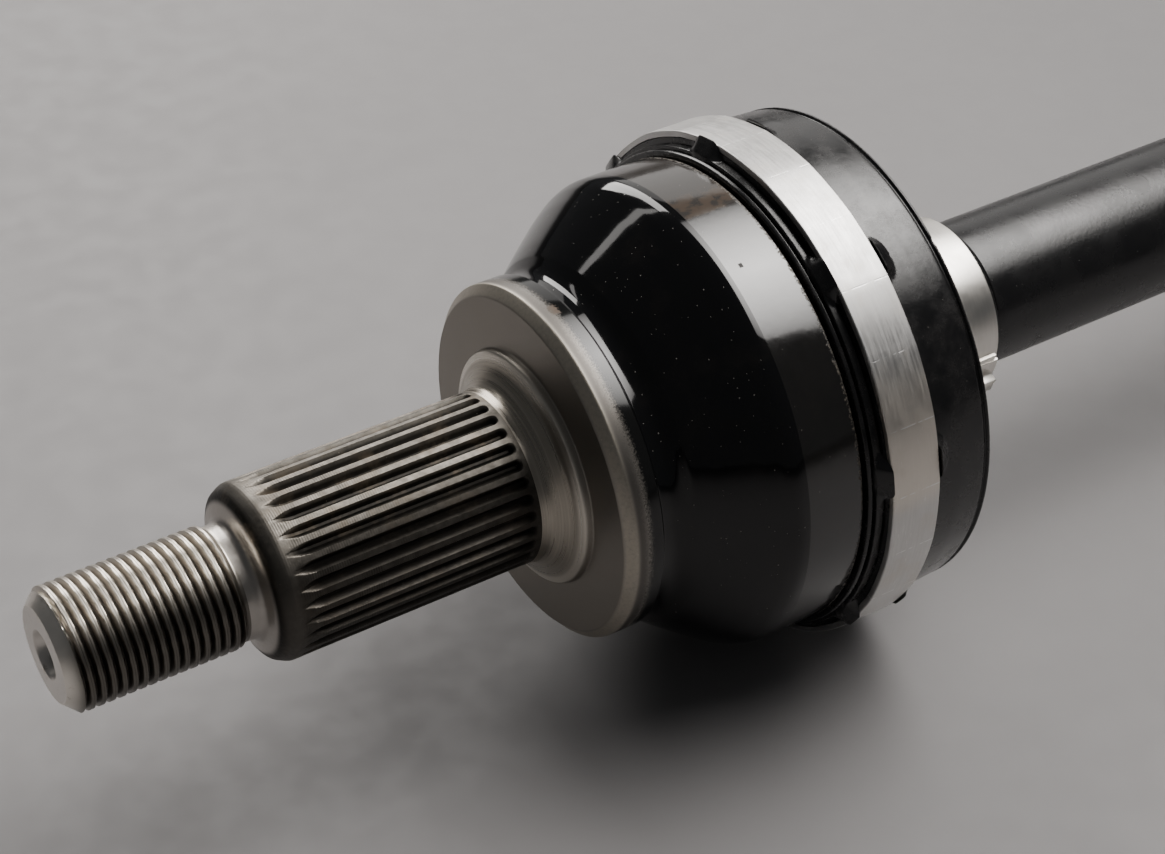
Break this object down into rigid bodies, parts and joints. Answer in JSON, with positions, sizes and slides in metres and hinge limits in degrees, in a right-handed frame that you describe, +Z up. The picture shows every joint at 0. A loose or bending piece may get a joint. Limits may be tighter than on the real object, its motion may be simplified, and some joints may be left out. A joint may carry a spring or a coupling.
{
  "type": "cv axle",
  "caption": "Front drive shaft with a fixed ball joint and splined stub at the wheel end, a bar shaft, and a plunging tripod joint at the gearbox end, each in a clamped boot.",
  "frame": {"origin": "middle of the axle's length, on its axis", "axes": "+X along the axle from the wheel end to the gearbox end, +Z up"},
  "size_m": [0.68, 0.106, 0.106],
  "materials": {
    "bell_steel": "gloss black enamel on forged steel, bare machined thread, spline and band",
    "shaft_paint": "semi-gloss black",
    "tulip_steel": "machined and oiled",
    "bearing_steel": "ground and greased",
    "spring_steel": "dark phosphate",
    "boot_plastic": "semi-gloss thermoplastic elastomer",
    "clamp_steel": "bright brushed stainless",
    "shield_steel": "zinc plated",
    "adapter_rubber": "matte black"
  },
  "bodies": {
    "shaft": {"drive_shaft": "shaft_paint", "outer_inner_race": "bearing_steel", "outer_race_circlip": "spring_steel", "outer_boot_neck": "boot_plastic", "outer_small_clamp": "clamp_steel", "tripod_spider": "bearing_steel", "tripod_circlip": "spring_steel", "tripod_retainer_1": "spring_steel", "tripod_retainer_2": "spring_steel", "tripod_retainer_3": "spring_steel", "inner_boot_neck": "boot_plastic", "inner_small_clamp": "clamp_steel"},
    "outer_boot_shaft_side": {"outer_boot_fold_3": "boot_plastic"},
    "outer_cage_set": {"outer_cage": "bearing_steel", "outer_ball_1": "bearing_steel", "outer_ball_2": "bearing_steel", "outer_ball_3": "bearing_steel", "outer_ball_4": "bearing_steel", "outer_ball_5": "bearing_steel", "outer_ball_6": "bearing_steel", "outer_boot_fold_2": "boot_plastic"},
    "outer_boot_bell_side": {"outer_boot_fold_1": "boot_plastic"},
    "bell": {"outer_bell": "bell_steel", "outer_boot_cuff": "boot_plastic", "outer_large_clamp": "clamp_steel"},
    "inner_boot_shaft_side": {"inner_boot_fold_3": "boot_plastic", "inner_boot_fold_2": "boot_plastic"},
    "inner_boot_tulip_side": {"inner_boot_fold_1": "boot_plastic"},
    "tulip": {"inner_tulip_housing": "tulip_steel", "inner_stub_circlip": "spring_steel", "inner_dust_shield": "shield_steel", "inner_boot_adapter": "adapter_rubber", "inner_boot_cuff": "boot_plastic", "inner_large_clamp": "clamp_steel"},
    "roller_1": {"tripod_roller_1": "bearing_steel"},
    "needles_1": {"tripod_needles_1": "bearing_steel"},
    "roller_2": {"tripod_roller_2": "bearing_steel"},
    "needles_2": {"tripod_needles_2": "bearing_steel"},
    "roller_3": {"tripod_roller_3": "bearing_steel"},
    "needles_3": {"tripod_needles_3": "bearing_steel"}
  },
  "joints": [
    {"name": "outer_pitch", "type": "hinge", "parent": "shaft", "child": "outer_boot_shaft_side", "pos_m": [-0.19, 0, 0], "axis": [0, 1, 0], "range_deg": [-15, 15], "deforming": ["outer_boot_fold_3"]},
    {"name": "outer_yaw", "type": "hinge", "parent": "outer_boot_shaft_side", "child": "outer_cage_set", "pos_m": [-0.19, 0, 0], "axis": [0, 0, 1], "range_deg": [-15, 15], "deforming": ["outer_boot_fold_2"]},
    {"name": "outer_yaw_bell", "type": "hinge", "parent": "outer_cage_set", "child": "outer_boot_bell_side", "pos_m": [-0.19, 0, 0], "axis": [0, 0, 1], "range_deg": [-15, 15], "deforming": ["outer_boot_fold_1"]},
    {"name": "outer_pitch_bell", "type": "hinge", "parent": "outer_boot_bell_side", "child": "bell", "pos_m": [-0.19, 0, 0], "axis": [0, 1, 0], "range_deg": [-15, 15]},
    {"name": "inner_pitch", "type": "hinge", "parent": "shaft", "child": "inner_boot_shaft_side", "pos_m": [0.21, 0, 0], "axis": [0, 1, 0], "range_deg": [-12, 12], "deforming": ["inner_boot_fold_3", "inner_boot_fold_2"]},
    {"name": "inner_yaw", "type": "hinge", "parent": "inner_boot_shaft_side", "child": "inner_boot_tulip_side", "pos_m": [0.21, 0, 0], "axis": [0, 0, 1], "range_deg": [-12, 12], "deforming": ["inner_boot_fold_1"]},
    {"name": "inner_plunge", "type": "slide", "parent": "inner_boot_tulip_side", "child": "tulip", "axis": [1, 0, 0], "range_m": [-0.015, 0.015]},
    {"name": "roller_spin_1", "type": "hinge", "parent": "shaft", "child": "roller_1", "pos_m": [0.21, 0, 0], "axis": [0, 0, 1], "range_deg": [-52, 52]},
    {"name": "needles_spin_1", "type": "hinge", "parent": "shaft", "child": "needles_1", "pos_m": [0.21, 0, 0], "axis": [0, 0, 1], "range_deg": [-31, 31]},
    {"name": "roller_spin_2", "type": "hinge", "parent": "shaft", "child": "roller_2", "pos_m": [0.21, 0, 0], "axis": [0, -0.866, -0.5], "range_deg": [-52, 52]},
    {"name": "needles_spin_2", "type": "hinge", "parent": "shaft", "child": "needles_2", "pos_m": [0.21, 0, 0], "axis": [0, -0.866, -0.5], "range_deg": [-31, 31]},
    {"name": "roller_spin_3", "type": "hinge", "parent": "shaft", "child": "roller_3", "pos_m": [0.21, 0, 0], "axis": [0, 0.866, -0.5], "range_deg": [-52, 52]},
    {"name": "needles_spin_3", "type": "hinge", "parent": "shaft", "child": "needles_3", "pos_m": [0.21, 0, 0], "axis": [0, 0.866, -0.5], "range_deg": [-31, 31]}
  ],
  "couplings": [
    {"joint": "outer_yaw_bell", "follows": "outer_yaw", "ratio": 1},
    {"joint": "outer_pitch_bell", "follows": "outer_pitch", "ratio": 1},
    {"joint": "roller_spin_1", "follows": "inner_plunge", "rad_per_m": 58.82},
    {"joint": "needles_spin_1", "follows": "inner_plunge", "rad_per_m": 34.24},
    {"joint": "roller_spin_2", "follows": "inner_plunge", "rad_per_m": 58.82},
    {"joint": "needles_spin_2", "follows": "inner_plunge", "rad_per_m": 34.24},
    {"joint": "roller_spin_3", "follows": "inner_plunge", "rad_per_m": 58.82},
    {"joint": "needles_spin_3", "follows": "inner_plunge", "rad_per_m": 34.24}
  ]
}
